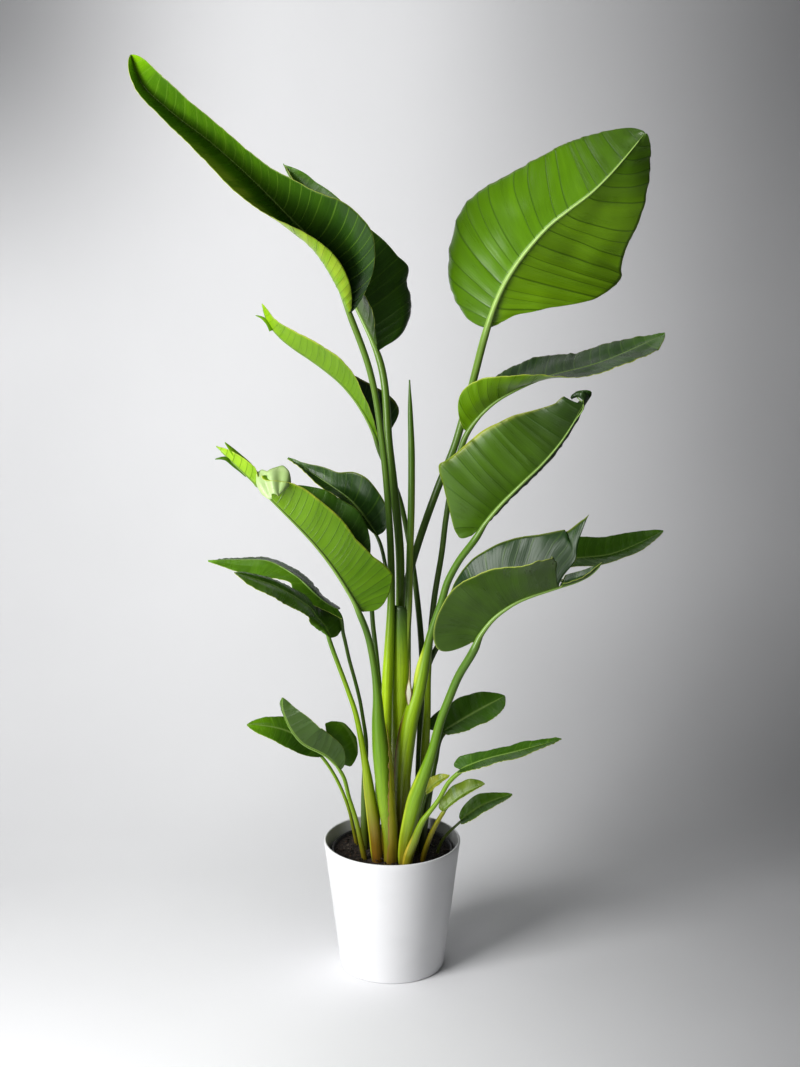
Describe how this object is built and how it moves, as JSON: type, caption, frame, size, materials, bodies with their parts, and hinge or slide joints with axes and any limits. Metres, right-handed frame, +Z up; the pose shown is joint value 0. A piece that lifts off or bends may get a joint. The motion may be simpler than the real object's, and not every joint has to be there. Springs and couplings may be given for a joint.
{
  "type": "potted plant",
  "caption": "Tall potted bird of paradise: folded paddle leaves on long leaf stems fan out from a bunched foot in a white tapered planter, with a rolled new leaf in the middle.",
  "frame": {"origin": "centre of the planter's underside, on the floor", "axes": "+Z up, +X to the viewer's right and -Y towards the viewer, who sees the plant's front"},
  "size_m": [0.9156, 0.43, 1.6451],
  "materials": {
    "pot_white": "satin",
    "black_plastic": "matte",
    "potting_soil": "matte",
    "leaf_green": "satin",
    "leaf_deep_green": "satin",
    "leaf_fresh_green": "satin",
    "stem_green": "satin",
    "dry_sheath": "matte"
  },
  "bodies": {
    "root": {"pot": "pot_white", "grow_pot": "black_plastic", "soil": "potting_soil", "left_leaf_1_blade": "leaf_green", "left_leaf_1_stem": "stem_green", "left_leaf_2_blade": "leaf_deep_green", "left_leaf_2_stem": "stem_green", "left_leaf_3_blade": "leaf_fresh_green", "left_leaf_3_stem": "stem_green", "left_leaf_4_blade": "leaf_fresh_green", "left_leaf_4_stem": "stem_green", "left_leaf_5_blade": "leaf_deep_green", "left_leaf_5_stem": "stem_green", "left_leaf_6_blade": "leaf_deep_green", "left_leaf_6_stem": "stem_green", "left_leaf_7_blade": "leaf_deep_green", "left_leaf_7_stem": "stem_green", "left_leaf_8_blade": "leaf_deep_green", "left_leaf_8_stem": "stem_green", "left_leaf_9_blade": "leaf_deep_green", "left_leaf_9_stem": "stem_green", "left_leaf_10_blade": "leaf_green", "left_leaf_10_stem": "stem_green", "right_leaf_1_blade": "leaf_fresh_green", "right_leaf_1_stem": "stem_green", "right_leaf_2_blade": "leaf_deep_green", "right_leaf_2_stem": "stem_green", "right_leaf_3_blade": "leaf_fresh_green", "right_leaf_3_stem": "stem_green", "right_leaf_4_blade": "leaf_green", "right_leaf_4_stem": "stem_green", "right_leaf_5_blade": "leaf_deep_green", "right_leaf_5_stem": "stem_green", "right_leaf_6_blade": "leaf_deep_green", "right_leaf_6_stem": "stem_green", "right_leaf_7_blade": "leaf_deep_green", "right_leaf_7_stem": "stem_green", "right_leaf_8_blade": "leaf_fresh_green", "right_leaf_8_stem": "stem_green", "right_leaf_9_blade": "leaf_fresh_green", "right_leaf_9_stem": "stem_green", "right_leaf_10_blade": "leaf_green", "right_leaf_10_stem": "stem_green", "spear": "stem_green", "front_sheath": "dry_sheath"}
  },
  "joints": []
}
